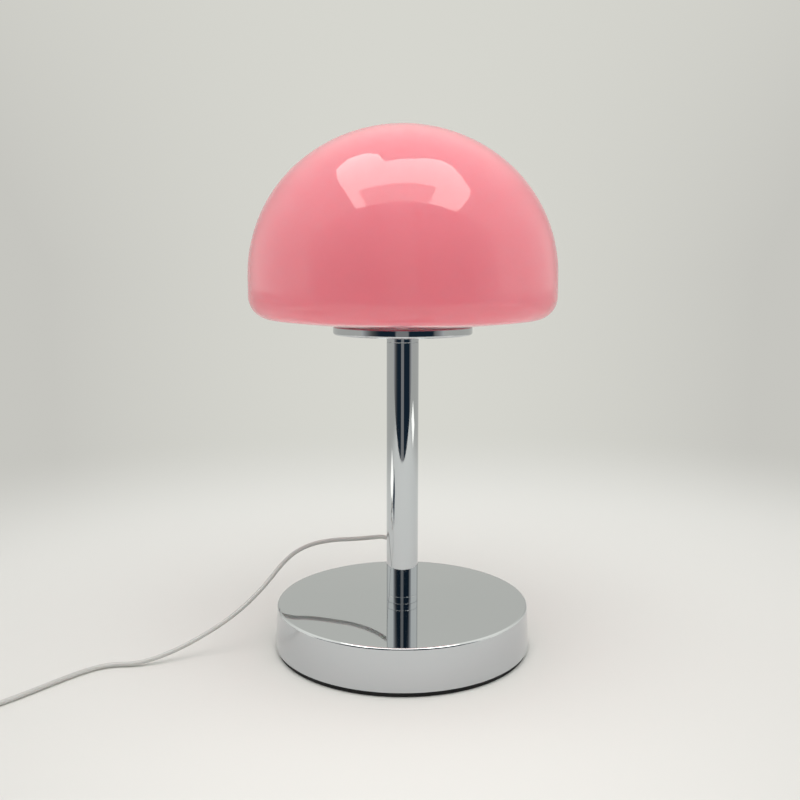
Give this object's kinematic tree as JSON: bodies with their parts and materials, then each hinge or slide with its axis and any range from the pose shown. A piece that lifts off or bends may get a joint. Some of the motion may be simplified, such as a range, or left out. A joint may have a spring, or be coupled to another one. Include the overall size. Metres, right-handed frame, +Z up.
{
  "type": "mushroom table lamp",
  "caption": "Table lamp with a domed opal glass shade on a slim chrome stem and a heavy round chrome base, fed by a thin cord with a rocker switch and a flat plug.",
  "frame": {"origin": "middle of the base's underside, on the surface that the lamp stands on", "axes": "+Z up the stem, -Y towards the viewer of the picture, +X to the viewer's right"},
  "size_m": [0.4745, 0.2445, 0.345],
  "materials": {
    "pink_opal_glass": "glossy opal, coloured through",
    "chrome": "mirror plate",
    "black_foam": "matte",
    "cast_iron": "as cast",
    "black_steel": "satin",
    "zinc_steel": "zinc plated",
    "plated_steel": "bright nickel plate",
    "white_jacket": "soft satin",
    "clear_silicone": "translucent",
    "white_plastic": "moulded",
    "opal_plastic": "milky",
    "board_aluminium": "white solder mask on aluminium",
    "chip_phosphor": "phosphor",
    "wire_red": "insulation",
    "strap_fabric": "woven loop strap",
    "contact_brass": "bright"
  },
  "bodies": {
    "stand": {"foot_pad": "black_foam", "base_cover": "chrome", "base_weight": "cast_iron", "base_plate": "black_steel", "base_screws": "zinc_steel", "base_washer": "zinc_steel", "base_bolt": "zinc_steel", "stem_foot": "chrome", "stem_tube": "chrome", "top_ferrule": "chrome", "cord_grommet": "white_jacket", "shade_plate": "chrome", "top_nipple": "zinc_steel", "top_washer": "zinc_steel", "top_nut": "zinc_steel", "shade_gasket": "clear_silicone", "led_holder": "white_plastic", "led_board": "board_aluminium", "led_chips": "chip_phosphor", "board_screws": "zinc_steel", "led_diffuser": "opal_plastic", "cord_inside": "white_jacket", "cord_tie": "white_plastic", "led_wires": "wire_red", "cord_lead": "white_jacket", "cord_link": "white_jacket", "cord_coil": "white_jacket", "cord_tail": "white_jacket", "coil_band": "strap_fabric", "switch_lower_shell": "white_plastic", "switch_upper_shell": "white_plastic", "rocker_pin": "zinc_steel", "switch_contacts": "contact_brass", "switch_wiring": "white_jacket", "switch_screws": "zinc_steel", "plug_grip": "white_plastic", "plug_shell": "plated_steel", "plug_tongue": "white_plastic", "plug_contacts": "contact_brass"},
    "shade": {"glass_shade": "pink_opal_glass"},
    "rocker": {"switch_rocker": "white_plastic"}
  },
  "joints": [
    {"name": "shade_lift", "type": "slide", "parent": "stand", "child": "shade", "axis": [0, 0, 1], "range_m": [0, 0.06]},
    {"name": "rocker_tilt", "type": "hinge", "parent": "stand", "child": "rocker", "pos_m": [-0.29684, -0.05889, 0.0094], "axis": [-0.9613, -0.2756, 0], "range_deg": [0, 16]}
  ]
}
